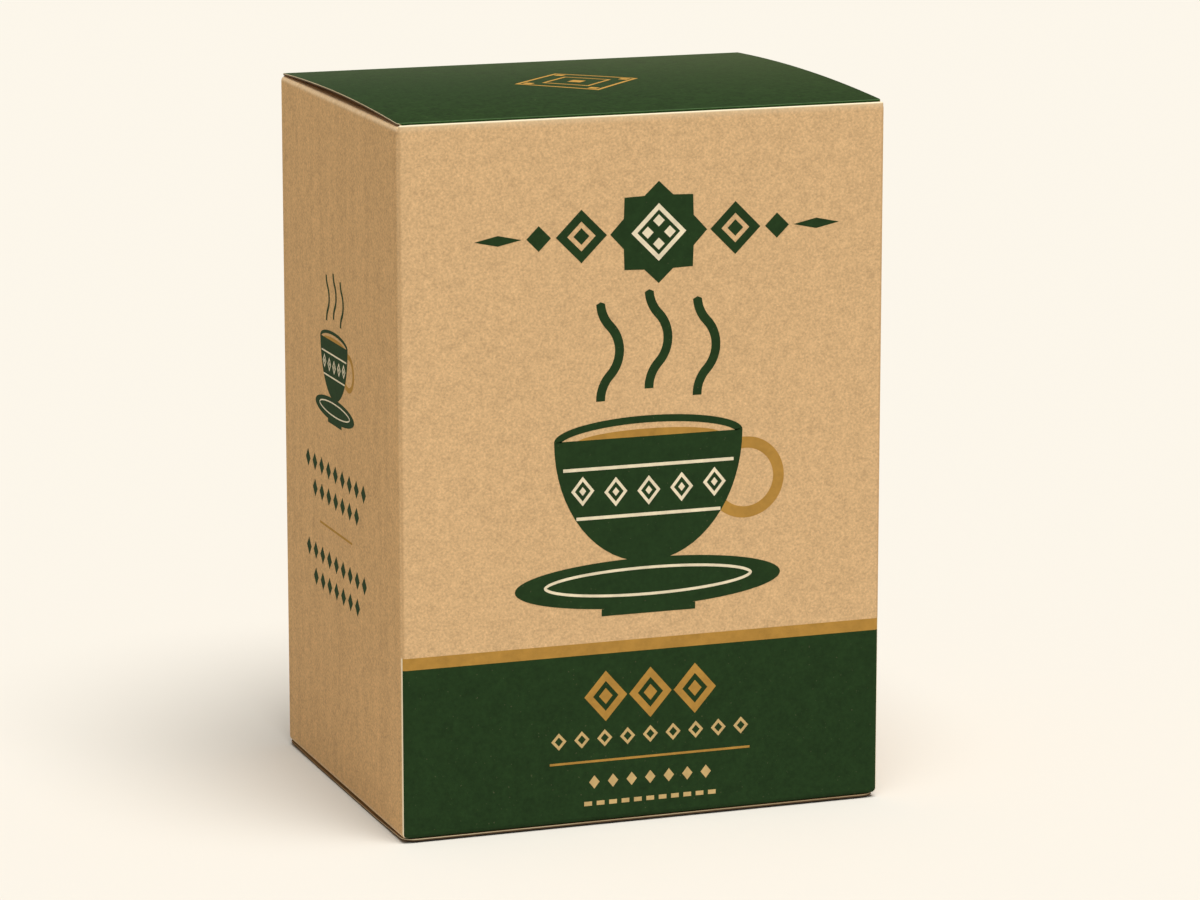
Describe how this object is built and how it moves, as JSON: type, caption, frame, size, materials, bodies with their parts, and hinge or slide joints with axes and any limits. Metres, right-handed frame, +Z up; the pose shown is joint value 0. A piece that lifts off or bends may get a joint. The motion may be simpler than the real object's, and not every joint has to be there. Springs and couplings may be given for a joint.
{
  "type": "kraft folding carton",
  "caption": "Shut upright tuck-top carton of kraft board with a bowed lid, folded edges and a flat bottom flap.",
  "frame": {"origin": "middle of the underside of the bottom flap", "axes": "+X to the right seen from the front, -Y out of the printed front panel, +Z up to the lid"},
  "size_m": [0.092, 0.073, 0.1309],
  "materials": {
    "kraft_board": "uncoated kraft board, with matte printed inks"
  },
  "bodies": {
    "root": {"carton": "kraft_board"}
  },
  "joints": []
}
